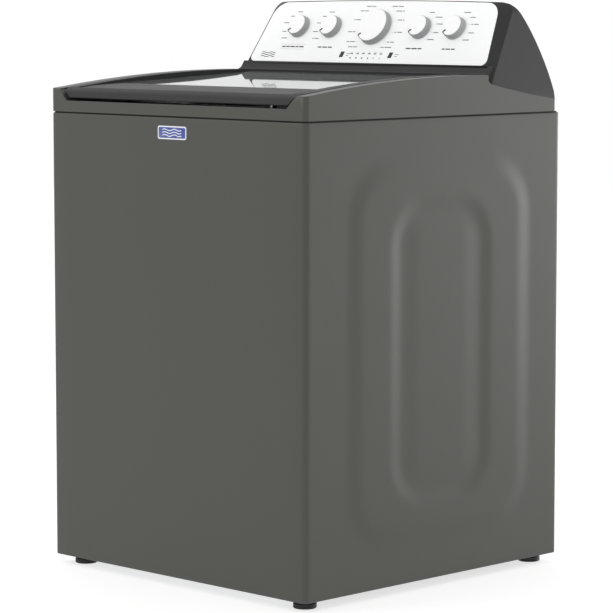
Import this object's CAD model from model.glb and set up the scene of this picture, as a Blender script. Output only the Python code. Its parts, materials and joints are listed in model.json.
# %% [markdown]
# # A top load washing machine, dressed for a product picture
# A washer is mostly sheet steel and moulded plastic. The CAD frame already holds every part
# at its true size, and this lesson gives the parts their rolled edges, pressed panels, ribbed
# knobs and finishes. We could model it all again by eye, but then nothing would line up with
# the moving bodies, so we load the frame first and every piece takes its place from it.

# %% Load the frame
import json
import math
import random

import bpy
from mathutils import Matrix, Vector


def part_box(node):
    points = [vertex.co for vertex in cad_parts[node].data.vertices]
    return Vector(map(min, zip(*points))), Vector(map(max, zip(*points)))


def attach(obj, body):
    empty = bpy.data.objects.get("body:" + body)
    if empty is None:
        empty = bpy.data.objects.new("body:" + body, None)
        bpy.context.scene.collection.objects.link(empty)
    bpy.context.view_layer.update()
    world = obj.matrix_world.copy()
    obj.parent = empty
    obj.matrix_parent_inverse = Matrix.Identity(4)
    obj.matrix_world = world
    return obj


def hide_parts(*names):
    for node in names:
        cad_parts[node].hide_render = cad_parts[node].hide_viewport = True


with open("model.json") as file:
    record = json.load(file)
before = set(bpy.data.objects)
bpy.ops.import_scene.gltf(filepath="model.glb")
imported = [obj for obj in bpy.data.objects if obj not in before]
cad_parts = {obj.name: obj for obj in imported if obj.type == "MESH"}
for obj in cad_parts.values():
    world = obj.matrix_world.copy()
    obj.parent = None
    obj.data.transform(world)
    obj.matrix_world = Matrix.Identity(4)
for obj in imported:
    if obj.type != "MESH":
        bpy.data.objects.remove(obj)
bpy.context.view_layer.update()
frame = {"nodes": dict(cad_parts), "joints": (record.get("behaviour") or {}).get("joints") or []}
mm = 0.001

# %% [markdown]
# ## Driving places
# Sheet metal work is measured from the panels. The cabinet gives the front plane, the seam
# under the top cover and the two sides. Numbers typed in world metres would drift as soon as
# the frame changes, so everything else is counted from these planes in millimetres, the way a
# fitter would measure it.

# %% Planes to measure from
shell_lo, shell_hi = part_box("cabinet_shell")
half_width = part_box("top_cover")[1].x
front_y = shell_lo.y
rear_y = shell_hi.y
base_z = shell_lo.z
seam_z = shell_hi.z
emboss_h = shell_hi.x - half_width


def back(v):
    """World y of a place v millimetres behind the front panel."""
    return front_y + v * mm


print("half width", round(half_width, 4), "seam", round(seam_z, 4), "press", round(emboss_h, 4))

# %% [markdown]
# ## Camera
# A product picture of an appliance is taken from one corner, a little above its middle. A
# short lens would make the upright edges lean, so this one is long and stands far off, which
# keeps them nearly parallel. It is set from the middle of the cabinet and is fixed before any
# piece is made, so that each piece can be judged in the same frame.

# %% Camera
cabinet_mid_y = (front_y + rear_y) / 2
stand_right, stand_front, stand_high = 3.9828, 4.0087, 1.1144
look_down, look_left = 6.114, 44.786
sensor_w, focal = 36, 169.8
camera_data = bpy.data.cameras.new("camera")
camera_data.sensor_width = sensor_w
camera_data.lens = focal
camera_data.clip_end = 60
camera = bpy.data.objects.new("camera", camera_data)
camera.location = (stand_right, cabinet_mid_y - stand_front, stand_high)
camera.rotation_euler = (math.radians(90 - look_down), 0, math.radians(look_left))
bpy.context.scene.collection.objects.link(camera)
bpy.context.scene.camera = camera
print("camera stands", round(camera.location.length, 2), "m away")

# %% [markdown]
# ## Floor
# A pale floor that runs into a white surround hides the room. A curved backdrop would do it
# too, but a flat sheet much wider than the machine is enough here, because the surround is as
# white as the floor. It is marked as stage, so it never counts as part of the machine.

# %% Floor
reach = 9
floor_mesh = bpy.data.meshes.new("floor")
floor_mesh.from_pydata([(-reach, -reach, 0), (reach, -reach, 0), (reach, reach, 0),
                        (-reach, reach, 0)], [], [(0, 1, 2, 3)])
floor = bpy.data.objects.new("floor", floor_mesh)
bpy.context.scene.collection.objects.link(floor)
print("floor", [round(d, 1) for d in floor.dimensions])

# %% [markdown]
# ## Light
# Two large soft boxes light the machine, one strong at the rear right and one weak at the front
# left. The grazing one is what makes the pressed fields of the side panels show. The surround
# is white to the lens and to mirrors, and a little weaker where it lights matt surfaces, which
# keeps the dark paint dark in front of a white backdrop.

# %% Surround and soft boxes
matt_share = 0.7
scene = bpy.context.scene
scene.view_settings.view_transform = "Standard"
world = bpy.data.worlds.new("studio")
scene.world = world
world.use_nodes = True
tree = world.node_tree
seen = tree.nodes.new("ShaderNodeLightPath")
white = tree.nodes["Background"]
white.inputs["Color"].default_value = (1, 1, 1, 1)
mix = tree.nodes.new("ShaderNodeMath")
mix.operation = "MULTIPLY_ADD"
mix.inputs[1].default_value = matt_share - 1
mix.inputs[2].default_value = 1.0
tree.links.new(seen.outputs["Is Diffuse Ray"], mix.inputs[0])
tree.links.new(mix.outputs[0], white.inputs["Strength"])


def soft_box(name, place, aim, size, watts):
    """A square area light at place that looks at aim."""
    data = bpy.data.lights.new(name, "AREA")
    data.size = size
    data.energy = watts
    lamp = bpy.data.objects.new(name, data)
    lamp.location = place
    lamp.rotation_euler = (Vector(aim) - Vector(place)).to_track_quat("-Z", "Y").to_euler()
    bpy.context.scene.collection.objects.link(lamp)
    return lamp


soft_box("key_rear_right", (1.55, 6.2, 0.8), (0.35, 0, 0.5), 1.6, 190)
soft_box("fill_front_left", (-2.2, -4.2, 3.4), (0, 0, 0.6), 2.4, 62)

# %% [markdown]
# ## Finishes
# Every finish is built from noise, so it holds at any distance and needs no image. One
# function lays down the usual recipe: two close colours mixed by a fine grain, a roughness
# that drifts a little, and a shallow bump. A flat colour would look like a drawing, and a
# picture of a surface would need unwrapping. What differs between paint, moulded plastic and
# bare metal is only the size of the grain and the numbers on the shader.


# %% Colour card
def linear(*srgb):
    """Shader colour from the 0 to 255 numbers that a colour card prints."""
    out = []
    for value in srgb:
        v = value / 255
        out.append(v / 12.92 if v < 0.04045 else ((v + 0.055) / 1.055) ** 2.4)
    return (*out, 1)


print("slate is", [round(c, 3) for c in linear(66, 67, 62)])

# %% [markdown]
# The recipe itself is a small node tree. The same tree could be clicked together once for each
# finish, but a function keeps them alike, so a change to the grain reaches all of them. What
# is even all over, such as the metal share or a coat, is set on the shader, and only colour,
# roughness and relief come from noise.


# %% Finish recipe
def finish(name, dark, light, grain, rough, bump=0.0, bump_grain=None, stretch=(1, 1, 1), **sockets):
    """A grained finish; sockets are set on the shader itself."""
    mat = bpy.data.materials.new(name)
    mat.use_nodes = True
    nodes, links = mat.node_tree.nodes, mat.node_tree.links
    shader = nodes["Principled BSDF"]
    for key, value in sockets.items():
        shader.inputs[key.replace("_", " ")].default_value = value
    place = nodes.new("ShaderNodeTexCoord")
    scale = nodes.new("ShaderNodeMapping")
    scale.inputs["Scale"].default_value = stretch
    links.new(place.outputs["Object"], scale.inputs["Vector"])

    fine = nodes.new("ShaderNodeTexNoise")
    fine.inputs["Scale"].default_value = grain
    fine.inputs["Detail"].default_value = 3
    links.new(scale.outputs["Vector"], fine.inputs["Vector"])
    ramp = nodes.new("ShaderNodeValToRGB")
    ramp.color_ramp.elements[0].position = 0.3
    ramp.color_ramp.elements[1].position = 0.7
    ramp.color_ramp.elements[0].color = dark
    ramp.color_ramp.elements[1].color = light
    links.new(fine.outputs["Fac"], ramp.inputs["Fac"])
    links.new(ramp.outputs["Color"], shader.inputs["Base Color"])

    drift = nodes.new("ShaderNodeTexNoise")
    drift.inputs["Scale"].default_value = 9
    links.new(place.outputs["Object"], drift.inputs["Vector"])
    gloss = nodes.new("ShaderNodeMapRange")
    gloss.inputs["To Min"].default_value = rough[0]
    gloss.inputs["To Max"].default_value = rough[1]
    links.new(drift.outputs["Fac"], gloss.inputs["Value"])
    links.new(gloss.outputs["Result"], shader.inputs["Roughness"])

    if bump:
        relief = nodes.new("ShaderNodeTexNoise")
        relief.inputs["Scale"].default_value = bump_grain or grain
        relief.inputs["Detail"].default_value = 2
        links.new(scale.outputs["Vector"], relief.inputs["Vector"])
        lift = nodes.new("ShaderNodeBump")
        lift.inputs["Strength"].default_value = bump
        lift.inputs["Distance"].default_value = 0.0002
        links.new(relief.outputs["Fac"], lift.inputs["Height"])
        links.new(lift.outputs["Normal"], shader.inputs["Normal"])
    return mat


print("finishes so far", len(bpy.data.materials))

# %% [markdown]
# ## Outside finishes
# The outside has few materials. The slate paint is a satin enamel with a touch of metal in
# it, and its orange peel is a wider bump under the fine grain. The console and the lid are a
# fine grained charcoal plastic with a weak shine, which keeps them darker than the paint. The
# panel and the knobs are a bright white that must stay white in shade, and more light on them
# would wash out the paint, so they get a trace of their own light instead.

# %% Paint and outer plastics
white_glow = dict(Emission_Color=(1, 1, 1, 1), Emission_Strength=0.13)
paint = finish("slate_paint", linear(66, 67, 62), linear(72, 73, 68), 1400, (0.36, 0.44),
               bump=0.12, bump_grain=420, Metallic=0.15, Specular_IOR_Level=0.4)
charcoal = finish("charcoal_moulding", linear(51, 51, 51), linear(57, 57, 57), 1800,
                  (0.44, 0.54), bump=0.18, Specular_IOR_Level=0.16)
panel_white = finish("panel_white", linear(251, 252, 252), linear(254, 254, 254), 60,
                     (0.18, 0.24), bump=0.02, bump_grain=90, **white_glow)
knob_face = finish("knob_white", linear(251, 251, 251), linear(254, 254, 254), 300, (0.2, 0.28),
                   **white_glow)
knob_skirt = finish("knob_skirt_grey", linear(174, 175, 176), linear(190, 191, 192), 900,
                    (0.28, 0.36), bump=0.1)
black_plastic = finish("black_plastic", linear(20, 20, 21), linear(27, 27, 28), 1500,
                       (0.34, 0.44), bump=0.15)
print("outer finishes", len(bpy.data.materials))

# %% [markdown]
# ## Small parts
# Ink, lenses and the plate are small and flat, so their colour does nearly all the work, and
# they share the recipe with other numbers. The dark band and the rubber are both close to
# black. They are told apart by their shine: the band is smooth, and the rubber is rough and
# grainy.

# %% Ink, lenses, plate and rubber
print_grey = finish("print_grey", linear(120, 122, 124), linear(140, 142, 144), 700, (0.5, 0.6))
print_dark = finish("print_dark", linear(40, 41, 43), linear(56, 57, 59), 700, (0.5, 0.6))
lens_dark = finish("lens_dark", linear(34, 36, 38), linear(44, 46, 48), 300, (0.12, 0.2))
lens_clear = finish("lens_clear", linear(206, 208, 208), linear(216, 218, 218), 300, (0.1, 0.16))
band_gloss = finish("band_gloss", linear(20, 20, 20), linear(25, 25, 25), 900, (0.24, 0.34),
                    bump=0.06, Specular_IOR_Level=0.12)
rubber = finish("rubber", linear(22, 22, 22), linear(32, 32, 32), 500, (0.6, 0.72), bump=0.3)
badge_blue = finish("badge_blue", linear(38, 60, 140), linear(44, 70, 154), 300, (0.16, 0.22),
                    Coat_Weight=0.6)
badge_pale = finish("badge_pale", linear(226, 230, 236), linear(238, 241, 245), 300,
                    (0.2, 0.28))
board_green = finish("board_green", linear(28, 84, 50), linear(36, 98, 60), 200, (0.3, 0.4))
print("with small parts", len(bpy.data.materials))

# %% [markdown]
# ## Inside finishes
# Under the lid and inside the cabinet there are moulded tub parts, plated and galvanised
# steel, a brushed basket and a cast gearcase. The metals could be one grey with four degrees
# of roughness, but real ones differ in grain first: zinc is fine, galvanised sheet has a soft
# spangle, casting is coarse, and the basket is brushed, so its noise is stretched.

# %% Inner plastics and metals
white_moulding = finish("white_moulding", linear(214, 214, 208), linear(224, 224, 219), 700,
                        (0.4, 0.5), bump=0.12)
tub_moulding = finish("tub_moulding", linear(196, 198, 198), linear(208, 209, 208), 500,
                      (0.42, 0.55), bump=0.15)
agitator_moulding = finish("agitator_moulding", linear(200, 203, 208), linear(212, 214, 218),
                           350, (0.25, 0.35), bump=0.06)
cap_blue = finish("cap_blue", linear(48, 92, 150), linear(60, 104, 162), 400, (0.25, 0.35))
zinc = finish("zinc_plate", linear(165, 167, 170), linear(190, 192, 194), 260, (0.3, 0.42),
              bump=0.1, Metallic=1.0)
steel_sheet = finish("galvanised_sheet", linear(150, 153, 156), linear(170, 173, 176), 90,
                     (0.34, 0.52), bump=0.06, Metallic=0.9)
stainless = finish("basket_stainless", linear(186, 188, 190), linear(204, 206, 208), 240,
                   (0.2, 0.3), bump=0.08, stretch=(1, 1, 14), Metallic=1.0)
cast = finish("cast_aluminium", linear(150, 152, 154), linear(172, 173, 175), 420,
              (0.45, 0.6), bump=0.5, Metallic=0.9)
motor_black = finish("motor_black", linear(34, 34, 36), linear(44, 44, 46), 800, (0.4, 0.5),
                     bump=0.2)
print("with inner parts", len(bpy.data.materials))

# %% [markdown]
# ## Floor and glass
# The floor glows a little, so that it runs into the white surround without an edge and still
# takes a soft shadow. The lid pane could be a dark mirror, since it is seen at a low angle
# from in front, but then the basket would never show from above. It is a clear glass with a
# high index, so that it mirrors the white room at a low angle and opens up at a steep one.

# %% Floor and glass
floor_white = finish("floor_white", linear(186, 186, 186), linear(190, 190, 190), 3,
                     (0.7, 0.8), Emission_Color=(1, 1, 1, 1), Emission_Strength=0.68)
floor.data.materials.append(floor_white)
glass = finish("lid_glass", linear(222, 226, 226), linear(228, 231, 231), 40, (0.02, 0.04),
               Transmission_Weight=0.8, IOR=2.0)
print("all finishes", len(bpy.data.materials))

# %% [markdown]
# ## Making a piece
# Most of what follows is one of three things: a sheet laid over a grid of points, a profile
# turned about an axis, or a flat outline pushed up by a hair. Each could be drawn by hand in
# edit mode, but lists of points are exact and come out the same each time. The helper below
# turns points and faces into an object and tells the frame which body it rides on, which
# finish it takes and which CAD part it stands for.


# %% Piece maker
def piece(name, points, faces, body, slot, mat, stands_for=()):
    """An object from points and faces that rides on a body."""
    mesh = bpy.data.meshes.new(name)
    mesh.from_pydata(points, [], faces)
    mesh.validate()
    mesh.shade_smooth()
    mesh.materials.append(mat)
    obj = bpy.data.objects.new(name, mesh)
    bpy.context.scene.collection.objects.link(obj)
    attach(obj, body)
    if stands_for:
        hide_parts(*stands_for)
    return obj


def round_edges(obj, width, segments=2, angle=30):
    """A small radius on every edge sharper than the angle."""
    bevel = obj.modifiers.new("edges", "BEVEL")
    bevel.width = width
    bevel.segments = segments
    bevel.limit_method = "ANGLE"
    bevel.angle_limit = math.radians(angle)
    obj.modifiers.new("even", "WEIGHTED_NORMAL").keep_sharp = True


def spread(node, direction):
    """Lowest and highest reach of a CAD node along a direction."""
    reach = [v.co.dot(direction) for v in frame["nodes"][node].data.vertices]
    return min(reach), max(reach)


print("pieces start from", len(frame["nodes"]), "nodes")

# %% [markdown]
# ## Cabinet wrap
# The front and both sides of a washer are one sheet, folded round the front corners and
# returned a little at the rear. Each side panel carries a drawn field: a low plateau, a
# groove inside it and a softer island in the middle, which stop the panel drumming. A draw
# tool leaves no crisp line, only slopes, so the height is a smooth function of the
# distance to a rounded rectangle, and the sheet is a fine grid that follows it.

# %% Height of the pressed side
field = ((104, 64), (624, 806), 120)
groove = ((217, 136), (510, 734), 100)
field_slope, groove_slope, island_edge, island_share = 50, 40, 88, 0.42


def ramp(x, a, b):
    """A smooth step from 0 at a to 1 at b."""
    t = min(1, max(0, (x - a) / (b - a)))
    return t * t * (3 - 2 * t)


def depth_inside(v, z, shape):
    """Distance from a place to the edge of a rounded rectangle, positive inside."""
    low, high, r = shape
    dx = abs(v - (low[0] + high[0]) / 2) - (high[0] - low[0]) / 2 + r
    dz = abs(z - (low[1] + high[1]) / 2) - (high[1] - low[1]) / 2 + r
    return r - math.hypot(max(dx, 0), max(dz, 0)) - min(max(dx, dz), 0)


def press(v, z):
    """Height of the side panel at v behind the front and z over the lower edge, in mm."""
    inside = depth_inside(v, z, groove)
    island = island_share * ramp(inside, groove_slope, island_edge)
    drawn = 1 - ramp(inside, 0, groove_slope) + island
    return emboss_h / mm * ramp(depth_inside(v, z, field), 0, field_slope) * drawn


print("plateau", round(press(160, 436), 2), "groove", round(press(258, 436), 2), "mm")

# %% [markdown]
# The sheet itself is a grid. One direction runs round the plan from the rear right return to
# the rear left one, and the other runs from the folded lower flange to the folded upper one.
# Along the sides the places lie close together, because the drawn field needs them, and on
# the flat front there are only a few. A solidify modifier then gives the sheet its gauge.

# %% Wrap the sheet
corner_r, return_w, rear_r, fold_r = 11, 22, 3, 2
low_flange, high_flange, sheet_t, weld_gap = 26, 14, 1, 0.05
side_steps, high_steps = 116, 108
deep = (rear_y - front_y) / mm
tall = (seam_z - base_z) / mm
wide = half_width / mm


def plan_path():
    """Places round the plan as (x, v, normal x, normal v), rear right to rear left."""
    right = [(wide - return_w, deep, 0, 1)]
    for k in range(5):
        a = math.radians(90 - 22.5 * k)
        right.append((wide - rear_r + rear_r * math.cos(a), deep - rear_r + rear_r * math.sin(a),
                      math.cos(a), math.sin(a)))
    run = deep - rear_r - corner_r
    right += [(wide, deep - rear_r - run * k / side_steps, 1, 0) for k in range(1, side_steps)]
    for k in range(9):
        a = math.radians(-11.25 * k)
        right.append((wide - corner_r + corner_r * math.cos(a),
                      corner_r + corner_r * math.sin(a), math.cos(a), math.sin(a)))
    front = [(x, 0, 0, -1) for x in (300, 200, 100, 0)]
    left = [(-x, v, -nx, nv) for x, v, nx, nv in reversed(right + front[:-1])]
    return right + front + left


def sheet_rows():
    """Rows of the sheet as (z, how far it is turned in, whether it is a flange)."""
    low = [(0, low_flange, True), (0, fold_r, False)]
    low += [(fold_r - fold_r * math.cos(a), fold_r - fold_r * math.sin(a), False)
            for a in (0.5, 1.05)]
    body = [(fold_r + (tall - 2 * fold_r) * k / high_steps, 0, False)
            for k in range(high_steps + 1)]
    high = [(tall - z, min(turn, high_flange) if flat else turn, flat)
            for z, turn, flat in reversed(low)]
    return low + body + high


def wrap_point(x, v, nx, nv, z, turn, flat):
    """One place on the sheet, in world metres."""
    if flat:
        x = max(-wide + turn, min(wide - turn, x))
        v = min(max(v, turn), deep - fold_r)
    else:
        swell = press(v, z) if abs(nx) == 1 else 0
        x += nx * (swell - turn)
        v -= nv * turn
    return Vector((x * mm, back(v), base_z + z * mm))


path, rows = plan_path(), sheet_rows()
print("sheet grid", len(path), "round by", len(rows), "high")

# %% [markdown]
# With a place for every crossing of path and rows, the wrap is only a matter of joining four
# neighbours into a face. The flange rows fold over themselves at the corners, so places that
# fall together are merged. The gauge comes last, as a modifier, because the pressed field is
# easier to shape on a surface without thickness.

# %% Cabinet wrap
points = [wrap_point(*p, *row) for row in rows for p in path]
n = len(path)
faces = [(j * n + i, (j + 1) * n + i, (j + 1) * n + i + 1, j * n + i + 1)
         for j in range(len(rows) - 1) for i in range(n - 1)]
cabinet_wrap = piece("cabinet_wrap", points, faces, "cabinet", "cabinet_paint", paint,
                     ["cabinet_shell"])
merge = cabinet_wrap.modifiers.new("merge", "WELD")
merge.merge_threshold = weld_gap * mm
skin = cabinet_wrap.modifiers.new("sheet", "SOLIDIFY")
skin.thickness = sheet_t * mm
skin.offset = -1
print("cabinet wrap", len(points), "points")

# %% [markdown]
# ## Seam under the top cover
# The dark line under the top cover is a joint, and daylight must not show through it at the
# corners. On the real machine a strip of foam lies between the folded sheet and the cover. A
# painted line would stay flat from the side, so it is a thin ring here, set in from the paint,
# and the line keeps its depth. It reuses the path of the sheet, so it follows the corners.

# %% Seal in the seam
seam_gap, seal_in, seal_t, seal_clear = 2.5, 3.5, 1.0, 0.1
low, high = seal_clear, seam_gap - seal_clear
rail = [p for p in path if p[3] != 1]
section = ((seal_in, low), (seal_in, high), (seal_in + seal_t, high), (seal_in + seal_t, low))
points = [Vector(((x - nx * inset) * mm, back(v - nv * inset), seam_z + z * mm))
          for inset, z in section for x, v, nx, nv in rail]
m = len(rail)
faces = [(a * m + i, a * m + i + 1, b * m + i + 1, b * m + i)
         for a, b in ((0, 1), (1, 2), (2, 3), (3, 0)) for i in range(m - 1)]
faces += [(0, m, 2 * m, 3 * m), (4 * m - 1, 3 * m - 1, 2 * m - 1, m - 1)]
piece("seam_seal", points, faces, "cabinet", "gasket_black", rubber)
print("seal", round(high - low, 2), "mm high")

# %% [markdown]
# ## Outlines pushed up by a hair
# The plate, the keys and the print are all thin shapes on a flat face. Extruding them by hand
# would do, but a few makers cover them all: an outline with round corners, a stack of such
# outlines closed at the top, and a raised line along a path. The last one joins several
# shapes into one piece, so that a panel full of print is still a single object.


# %% Outline makers
def rounded(w, h, r, steps=6):
    """Outline of a rounded rectangle about the origin, anticlockwise."""
    out = []
    for cx, cy, start in ((1, -1, -90), (1, 1, 0), (-1, 1, 90), (-1, -1, 180)):
        for k in range(steps + 1):
            a = math.radians(start + 90 * k / steps)
            out.append((cx * (w / 2 - r) + r * math.cos(a), cy * (h / 2 - r) + r * math.sin(a)))
    return out


def terraces(loops, place):
    """Faces between equal outlines stacked at heights, with the last one closed."""
    n = len(loops[0][0])
    pts = [place(x, y, h) for outline, h in loops for x, y in outline]
    quads = [(j * n + i, j * n + (i + 1) % n, (j + 1) * n + (i + 1) % n, (j + 1) * n + i)
             for j in range(len(loops) - 1) for i in range(n)]
    quads.append(tuple((len(loops) - 1) * n + i for i in range(n)))
    return pts, quads


def strip(line, width, place, low, high):
    """A raised line of even width along a list of places."""
    pts = []
    for k, (x, y) in enumerate(line):
        ax, ay = line[max(k - 1, 0)]
        bx, by = line[min(k + 1, len(line) - 1)]
        size = math.hypot(bx - ax, by - ay)
        nx, ny = -(by - ay) / size * width / 2, (bx - ax) / size * width / 2
        pts += [place(x + nx, y + ny, low), place(x + nx * 0.8, y + ny * 0.8, high),
                place(x - nx * 0.8, y - ny * 0.8, high), place(x - nx, y - ny, low)]
    last = 4 * (len(line) - 1)
    quads = [(a, a + 4, a + 5, a + 1) for k in range(len(line) - 1) for a in
             (4 * k, 4 * k + 1, 4 * k + 2)]
    return pts, quads + [(0, 1, 2, 3), (last + 3, last + 2, last + 1, last)]


def gather(parts):
    """Join several lists of points and faces into one."""
    pts, quads = [], []
    for p, f in parts:
        quads += [tuple(i + len(pts) for i in face) for face in f]
        pts += p
    return pts, quads


print("outline of", len(rounded(10, 5, 1)), "places")

# %% [markdown]
# ## Maker's plate
# A small enamelled plate is let into the front panel under the seam. This one carries three
# wave lines, which say water and nothing else. It could be cut in the panel with a boolean,
# but three stacked outlines give cleaner edges: a pale rim that stands a little over a blue
# field, as on a die struck plate, and raised lines on the field.

# %% Plate with a rim and waves
plate_lo, plate_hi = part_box("badge")
plate_mid = (plate_lo + plate_hi) / 2
plate_w, plate_h = (plate_hi.x - plate_lo.x) / mm, (plate_hi.z - plate_lo.z) / mm


def on_front(x, y, h):
    """A place on the plate: x and y from its middle, h out of the front panel."""
    return Vector((plate_mid.x + x * mm, front_y - h * mm, plate_mid.z + y * mm))


rim = [(rounded(plate_w, plate_h, 4.5), 0), (rounded(plate_w, plate_h, 4.5), 1.0),
       (rounded(plate_w - 0.8, plate_h - 0.8, 4.2), 1.4),
       (rounded(plate_w - 3.6, plate_h - 3.6, 3.2), 1.4),
       (rounded(plate_w - 4.4, plate_h - 4.4, 2.8), 0.9)]
piece("badge_rim", *terraces(rim, on_front), "cabinet", "enamel_badge", badge_pale, ["badge"])
piece("badge_field", *terraces([(rounded(plate_w - 4.8, plate_h - 4.8, 2.6), 0.9),
                                (rounded(plate_w - 5.4, plate_h - 5.4, 2.4), 1.1)], on_front),
      "cabinet", "enamel_badge", badge_blue, ["badge"])
waves = [strip([(x, y + 1.5 * math.sin(x / 4.2)) for x in range(-26, 27)], 1.7, on_front, 1.0, 1.35)
         for y in (-5.2, 0, 5.2)]
piece("badge_waves", *gather(waves), "cabinet", "enamel_badge", badge_pale, ["badge"])
print("plate", round(plate_w), "by", round(plate_h), "mm")

# %% [markdown]
# ## The panel's own plane
# Knobs, buttons and print all belong to the sloped control panel. Working out each place with
# sines and cosines invites mistakes. The joint of the cycle knob already says which way the
# panel faces, and the panel's corners say where its face and its lower edge are, so
# everything on it is placed as across, up the slope and out.

# %% Panel plane
joints = {j["name"]: j for j in frame["joints"]}
out = -Vector(joints["knob_cycle_turn"]["axis"]).normalized()
slope = out.cross(Vector((1, 0, 0)))
panel_low = spread("control_panel", slope)[0]
panel_face = spread("control_panel", out)[1]


def on_panel(x, u, h):
    """World place x across, u up the slope and h out of the panel, all in mm."""
    return Vector((x * mm, 0, 0)) + slope * (panel_low + u * mm) + out * (panel_face + h * mm)


def panel_place(node):
    """Middle of a CAD node in the panel's plane, as x and u in mm."""
    lo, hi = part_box(node)
    up_lo, up_hi = spread(node, slope)
    return (lo.x + hi.x) / 2 / mm, ((up_lo + up_hi) / 2 - panel_low) / mm


print("panel faces", [round(c, 3) for c in out])

# %% [markdown]
# ## Turned shapes
# Knobs, lenses, guide pins and feet were all turned or moulded about an axis. A screw modifier
# could spin a profile too, but it can't ripple the radius, and the ribs of the knobs need
# that. So the maker below places the rings itself and closes the last one.


# %% Turning a profile
def turned(profile, steps, place, ripple=None):
    """A profile of (radius, height) turned about an axis; ripple moves the radius."""
    pts = []
    for i, (r, h) in enumerate(profile):
        for k in range(steps):
            a = 2 * math.pi * k / steps
            wave = ripple(i, k) if ripple else 0
            pts.append(place((r + wave) * math.cos(a), (r + wave) * math.sin(a), h))
    quads = [(i * steps + k, i * steps + (k + 1) % steps, (i + 1) * steps + (k + 1) % steps,
              (i + 1) * steps + k) for i in range(len(profile) - 1) for k in range(steps)]
    top = (len(profile) - 1) * steps
    quads.append(tuple(range(top, top + steps)))
    return pts, quads


print("turned ring of", len(turned([(1, 0), (1, 1)], 12, on_panel)[0]), "places")

# %% [markdown]
# ## Knobs
# Each knob is a white cap on a grey skirt whose fine ribs give the fingers a grip. Ribs cut
# one by one would cost hundreds of booleans. The skirt is a turned profile instead, with its
# radius rippled, and a dark pointer runs down it at the position the knob is set to. Every
# knob rides on its own body, so it turns with its pointer. The big one picks the cycle.

# %% Knob maker
skirt_lean, ribs_per_mm, rib_h, pointer_at = 2.7, 4, 0.28, 222


def make_knob(node):
    """Skirt, cap and pointer of one knob, riding on the knob's own body."""
    lo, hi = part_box(node)
    x, u = panel_place(node)
    base = (hi.x - lo.x) / 2 / mm
    face = base - skirt_lean
    tall = (spread(node, out)[1] - panel_face) / mm

    def at(dx, du, h):
        return on_panel(x + dx, u + du, h)

    ribs = int(base * ribs_per_mm)
    skirt = [(base - 1, 0.8), (base, 0.9), (base, 2.2), (base - 0.5, 2.9), (base - 0.9, 3.2),
             (face + 0.3, tall - 1.6), (face - 0.1, tall - 1.1), (face - 0.8, tall - 0.9)]
    piece(node + "_skirt", *turned(skirt, ribs * 4, at,
                                   lambda i, k: rib_h * (k % 4 in (1, 2)) if i in (4, 5) else 0),
          node, "knob_white", knob_skirt, [node])
    cap = [(face - 0.7, tall - 1.2), (face - 0.4, tall - 0.7), (face - 0.6, tall - 0.2),
           (face - 1.3, tall), (face - 2.2, tall - 0.05), (face - 2.7, tall - 0.4),
           (face - 3.4, tall - 0.45), (face * 0.5, tall - 0.3), (1, tall - 0.25)]
    piece(node + "_cap", *turned(cap, 96, at), node, "knob_white", knob_face, [node])

    a = math.radians(pointer_at)

    def along(r, side, h):
        return at(r * math.cos(a) - side * math.sin(a), r * math.sin(a) + side * math.cos(a), h)

    ridge = [(face - 7, tall - 0.3), (face - 6, tall + 0.0), (face - 0.4, tall + 0.0),
             (face + 0.7, tall - 0.9), (base - 0.1, 3.1), (base - 0.1, 1.6)]
    pts = [along(r, side, h) for r, h in ridge for side in (-1.3, 1.3)]
    quads = [(2 * k, 2 * k + 1, 2 * k + 3, 2 * k + 2) for k in range(len(ridge) - 1)]
    pointer = piece(node + "_pointer", pts, quads, node, "knob_white", print_dark, [node])
    thick = pointer.modifiers.new("thick", "SOLIDIFY")
    thick.thickness = 1.6 * mm
    thick.offset = 0
    round_edges(pointer, 0.3 * mm)
    return x, u, base


knobs = ["knob_soil", "knob_spin", "knob_cycle", "knob_temperature", "knob_options"]
knob_places = {node: make_knob(node) for node in knobs}
print("knobs", {k: [round(c, 1) for c in v] for k, v in knob_places.items()})

# %% [markdown]
# ## Buttons
# The start and power keys are slanted black keys split by a groove, so each looks like two
# bars. A single block with a painted line would lose the groove at the first raking light, so
# each key is a body with two raised bars. A collar and a guide pin behind the panel keep it in
# when it is pressed.


# %% Push keys
def make_key(node):
    """One key: a guide pin, a collar that keeps it in, a body and two raised bars."""
    x, u = panel_place(node)

    def at(dx, du, h):
        return on_panel(x + dx, u + du, h)

    def slanted(y0, y1, grow):
        lean = 2 / 12
        left, right = -4.5 - grow, 4.5 + grow
        return [(left + lean * y0, y0), (right + lean * y0, y0), (right + lean * y1, y1),
                (left + lean * y1, y1)]

    solids = [terraces([(slanted(-6, 6, 0), -8), (slanted(-6, 6, 0), 0.25)], at),
              terraces([(slanted(-6, -0.8, 0), 0.2), (slanted(-6, -0.8, 0), 0.95)], at),
              terraces([(slanted(0.8, 6, 0), 0.2), (slanted(0.8, 6, 0), 0.95)], at),
              terraces([(slanted(-7.5, 7.5, 1.6), -9.5), (slanted(-7.5, 7.5, 1.6), -7.6)], at),
              turned([(2, -21), (2, -9)], 24, at)]
    key = piece(node + "_key", *gather(solids), node, "button_black", black_plastic, [node])
    round_edges(key, 0.35 * mm)
    return x, u


key_places = [make_key(node) for node in ("start_button", "power_button")]

# %% [markdown]
# ## Indicator lights
# Six small lenses sit between the keys under little printed signs: four dark ones and two
# clear ones. A flat disc would read as print, so each is a shallow turned dome that catches a
# small glint. They are spaced evenly over the width of the CAD part behind them.

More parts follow.
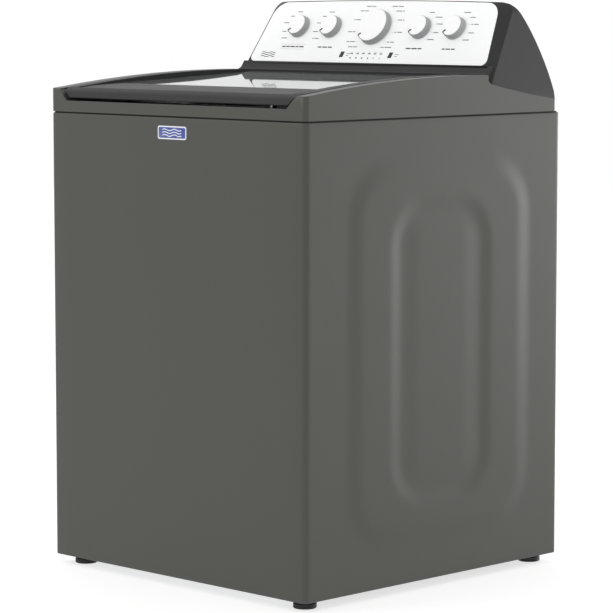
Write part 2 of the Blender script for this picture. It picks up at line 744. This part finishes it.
# %% Lenses
light_lo, light_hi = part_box("indicator_lights")
light_r, lights, lit_from = 1.8, 6, 4
light_u = (spread("indicator_lights", slope)[1] - panel_low) / mm - light_r
light_span = (light_hi.x - light_lo.x) / mm - 2 * light_r
light_x = [light_span * (i / (lights - 1) - 0.5) for i in range(lights)]
for i, x in enumerate(light_x):
    dome = [(light_r - 0.05, -0.2), (light_r - 0.1, 0.05), (light_r * 0.8, 0.25),
            (light_r * 0.4, 0.4), (0.2, 0.44)]
    piece(f"light_lens_{i + 1}",
          *turned(dome, 24, lambda dx, du, h, x=x: on_panel(x + dx, light_u + du, h)),
          "cabinet", "light_clear", lens_dark if i < lit_from else lens_clear)
print("keys at", [[round(c) for c in k] for k in key_places], "lenses at", round(light_u, 1))

# %% [markdown]
# ## Print on the panel
# The words and scales round the knobs are screen printed. They are shown here as plain bars
# and dots of ink of the right length and tone, so the panel reads as a printed one and says
# nothing. An image would be the usual way to print, but real ink has a thickness of a few
# hundredths of a millimetre, and thin raised bars stay sharp at any distance.


# %% Ink marks
def ink(x, u, w, h):
    """A flat bar of ink with round ends."""
    return terraces([(rounded(w, h, h * 0.49, 3), 0.02), (rounded(w, h, h * 0.49, 3), 0.09)],
                    lambda dx, du, out_mm: on_panel(x + dx, u + du, out_mm))


def words(x, u, width, h, into):
    """A label as a few dashes of ink that fill a width about x."""
    left = x - width / 2
    count = max(1, round(width / 13))
    cuts = sorted(rng.uniform(0.25, 0.75) if count == 2 else (k + rng.uniform(-0.2, 0.2)) / count
                  for k in range(1, count))
    for start, stop in zip([0, *cuts], [*cuts, 1]):
        w = width * (stop - start) - 1.6
        into.append(ink(left + width * (start + stop) / 2, u, w, h))


print("a bar of ink has", len(ink(0, 0, 5, 2)[0]), "places")

# %% [markdown]
# The labels sit on a ring round each knob, a dot and a thin lead line in front of each. They
# could be laid out one by one, but a real panel follows a rule, so a rule places them here:
# even steps of angle, outward from the knob, with lengths that vary as words do. The random
# numbers have a fixed seed, so the print is the same each time.

# %% Print the panel
rng = random.Random(7)
grey_ink, dark_ink = [], []
word_h, title_h, title_u, dot, lead_h, frame_h = 1.9, 2.6, 34, 1.0, 0.35, 0.45
title_width = {"knob_soil": 64, "knob_spin": 42, "knob_temperature": 44, "knob_options": 36}
big_angles = [66, 46, 20, -10, -36, -54]
big_angles += [180 - a for a in big_angles]
right_angles, left_angles = [80, 44, 16, -14, -42], [104, 136, 164, 196, 224]
for node, (x, u, base) in knob_places.items():
    big = node == "knob_cycle"
    label_gap = 15 if big else 12
    for a in big_angles if big else right_angles if x > 0 else left_angles:
        ca, sa = math.cos(math.radians(a)), math.sin(math.radians(a))
        side = 1 if ca > 0 else -1
        length = rng.uniform(19, 33) if big else rng.uniform(13, 21)
        reach = base + label_gap
        words(x + reach * ca + side * length / 2, u + reach * sa, length, word_h, grey_ink)
        grey_ink.append(ink(x + (base + 4) * ca, u + (base + 4) * sa, dot, dot))
        lead = (label_gap - 5) * 0.9
        grey_ink.append(ink(x + (base + 5.5) * ca + side * lead / 2, u + reach * sa, lead, lead_h))
    if not big:
        words(x, title_u, title_width[node], title_h, dark_ink)
    if node == "knob_soil":
        for du in (-5.5, 5.5):
            grey_ink.append(ink(x, title_u + du, 68, frame_h))
for x in light_x:
    grey_ink.append(ink(x, light_u + 10, 7.5, 2.6))
    grey_ink.append(ink(x, light_u + 13.2, 5, 0.6))
for x, u in key_places:
    grey_ink.append(ink(x + 17, u + 1.8, 10, 1.3))
    grey_ink.append(ink(x + 15, u - 2.6, 7, 1.3))
wave_left, wave_low, wave_step, wave_h = -296, 11, 4.4, 1.1
for k in range(3):
    line = [(wave_left + x / 2, wave_low + wave_step * k + wave_h * math.sin(x / 7))
            for x in range(0, 81)]
    dark_ink.append(strip(line, 1.6, on_panel, 0.02, 0.1))
piece("panel_print", *gather(grey_ink), "cabinet", "panel_white", print_grey)
piece("panel_titles", *gather(dark_ink), "cabinet", "panel_white", print_dark)
print("ink marks", len(grey_ink) + len(dark_ink))

# %% [markdown]
# ## Dark band under the panel
# Between the white panel and the hinge line the console has a darker, shinier moulding with
# a shallow groove along it. It could be cut into the housing, but a separate strip keeps the
# change of finish crisp: a profile pulled across the console and sunk at both ends.

# %% Console band
panel_lo, panel_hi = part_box("control_panel")
band_half = panel_hi.x / mm + 8
band_profile = [(-0.9, 0.0), (-0.9, 0.55), (-1.3, 0.9), (-7, 0.75), (-7.6, 0.35), (-8.2, 0.75),
                (-13.6, 0.9), (-14.6, 0.5), (-14.9, 0.05)]
stations = [-band_half, -band_half + 1, 0, band_half - 1, band_half]
shrink = [0.2, 1, 1, 1, 0.2]
points = [on_panel(x, u, h * s) for x, s in zip(stations, shrink) for u, h in band_profile]
n = len(band_profile)
faces = [(j * n + i, (j + 1) * n + i, (j + 1) * n + i + 1, j * n + i + 1)
         for j in range(len(stations) - 1) for i in range(n - 1)]
piece("console_band", points, faces, "cabinet", "charcoal_plastic", band_gloss)
print("band", round(2 * band_half), "mm wide")

# %% [markdown]
# ## Levelling feet
# A foot is a moulded rubber pad on a threaded steel stem. The pad has a shallow waist and a
# worn lower edge, both in one turned profile. A true screw thread would take a helix, and
# here, where only its upper turns can be seen, a row of fine rings does the same work.

# %% Feet
for i in range(1, 5):
    node = f"levelling_foot_{i}"
    lo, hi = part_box(node)
    cx, cy = (lo.x + hi.x) / 2, (lo.y + hi.y) / 2
    pad_r = (hi.x - lo.x) / 2 / mm

    def foot_place(dx, dy, h, cx=cx, cy=cy):
        return Vector((cx + dx * mm, cy + dy * mm, lo.z + h * mm))

    pad = [(pad_r - 4, 0), (pad_r - 1.6, 0.2), (pad_r - 0.4, 1.2), (pad_r, 3), (pad_r - 0.2, 4.2),
           (pad_r - 0.8, 4.9), (pad_r - 0.8, 5.5), (pad_r - 0.2, 6.1), (pad_r, 7.6),
           (pad_r - 0.6, 10), (pad_r - 2.4, 11), (5, 11.2)]
    piece(node + "_pad", *turned(pad, 64, foot_place), f"foot_{i}", "foot_black", rubber, [node])
    top = (hi.z - lo.z) / mm
    thread = [(5 - 0.45 * (k % 2), 11 + k * 0.8) for k in range(int((top - 12) / 0.8))]
    thread += [(4.2, top - 0.4), (3.6, top)]
    piece(node + "_stem", *turned(thread, 24, foot_place), f"foot_{i}", "foot_black", zinc, [node])
print("foot pads", round(2 * pad_r), "mm across")

# %% [markdown]
# ## Keeping CAD parts as they are
# Brackets, screws, pulleys and tub parts already have their right shape. Real edges are never
# knife sharp, and modelling every radius again would only risk the fit. So each part gets a
# weld, a clean-up of flat triangles and a small bevel as modifiers, which leave its own mesh
# alone, and its finish goes into the first slot.


# %% Dress carried-over parts
def soften(obj, width, segments=2, angle=32):
    """Rounded edges on a part as modifiers."""
    weld = obj.modifiers.new("weld", "WELD")
    weld.merge_threshold = 2e-6
    flat = obj.modifiers.new("flat", "DECIMATE")
    flat.decimate_type = "DISSOLVE"
    flat.angle_limit = math.radians(0.6)
    bevel = obj.modifiers.new("edges", "BEVEL")
    bevel.width = width
    bevel.segments = segments
    bevel.limit_method = "ANGLE"
    bevel.angle_limit = math.radians(angle)
    bevel.use_clamp_overlap = True
    bevel.harden_normals = False
    obj.data.shade_smooth()
    smooth = obj.modifiers.new("even", "WEIGHTED_NORMAL")
    smooth.keep_sharp = True


def dress(names, mat, width=0.0):
    """Put a finish, and rounded edges if width is given, on CAD nodes."""
    for name in names:
        obj = frame["nodes"][name]
        obj.data.materials.clear()
        obj.data.materials.append(mat)
        if width:
            soften(obj, width)


print("bevel softens edges sharper than 32 degrees")

# %% [markdown]
# One list says it all: which finish, how wide the soft edge is in millimetres, and which
# parts. A part that is stood for by a new piece still gets its finish, so that nothing is left
# grey if it ever shows. Thin springs, rods and the drilled basket keep their own edges, for a
# bevel on so many small faces would cost more than it shows.

# %% Finish list
corners, rods, springs, feet = (
    [f"{part}_{i}" for i in range(1, 5)]
    for part in ("corner_bracket", "suspension_rod", "suspension_spring", "levelling_foot"))
for mat, width, names in (
        (steel_sheet, 0.4, ["rear_panel", "front_brace", "rear_brace", "console_back_cover"]),
        (steel_sheet, 0.4, corners),
        (zinc, 0.3, ["lock_nuts", "cabinet_screws", "lid_hinge_pins", "lid_strike"]),
        (zinc, 0.3, ["tub_bearing"]),
        (zinc, 0, [*rods, *springs, "motor_pulley"]),
        (paint, 0, ["cabinet_shell"]),
        (paint, 2.4, ["top_cover"]),
        (charcoal, 1.2, ["console_housing", "lid_frame"]),
        (panel_white, 0.3, ["control_panel"]),
        (knob_face, 0, knobs),
        (black_plastic, 0, ["start_button", "power_button", "indicator_lights"]),
        (black_plastic, 0.3, ["selector_switches", "lid_lock"]),
        (rubber, 0, feet),
        (rubber, 0.4, ["drain_grommet", "cord_gland", "drive_belt"]),
        (badge_blue, 0, ["badge"]),
        (board_green, 0.2, ["control_board"]),
        (white_moulding, 0.6, ["inlet_valve", "fill_spout", "hinge_bushes"]),
        (tub_moulding, 1.0, ["outer_tub", "tub_ring", "balance_ring"]),
        (stainless, 0, ["basket"]),
        (cast, 1.5, ["gearcase"]),
        (motor_black, 1.0, ["drive_motor", "drain_pump", "drive_pulley"]),
        (agitator_moulding, 2.0, ["agitator"]),
        (cap_blue, 1.0, ["softener_cap"]),
        (glass, 0.6, ["lid_glass"])):
    dress(names, mat, width * mm)
print("dressed", len(frame["nodes"]), "nodes")
